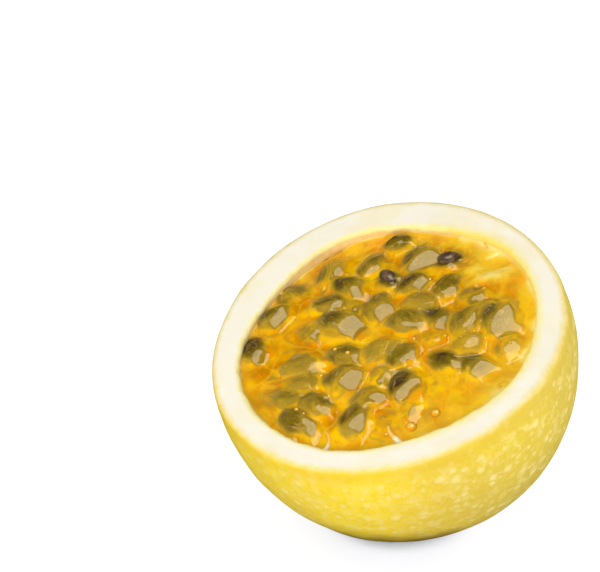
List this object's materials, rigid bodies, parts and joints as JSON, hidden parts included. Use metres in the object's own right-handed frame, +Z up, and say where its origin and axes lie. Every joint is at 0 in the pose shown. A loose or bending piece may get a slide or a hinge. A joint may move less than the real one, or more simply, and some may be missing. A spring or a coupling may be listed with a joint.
{
  "type": "passion fruit half",
  "caption": "Half of a yellow passion fruit as cut: a thick round rind cup, filled with soft pulp whose juice sacs each hold a seed, leaning on a small flat spot.",
  "frame": {"origin": "middle of the small flat spot that the half rests on", "axes": "+Z up, away from the surface it rests on; the cut face looks up and leans towards -X and -Y"},
  "size_m": [0.0738, 0.0741, 0.0579],
  "materials": {
    "rind": "waxy yellow skin with pale flecks outside, matt cream-white pith on the cut and inside",
    "pulp": "wet, glossy, translucent orange juice sacs",
    "seed": "dark brown, smooth, seen through the juice sacs"
  },
  "bodies": {
    "root": {"rind": "rind", "pulp": "pulp"}
  },
  "joints": []
}
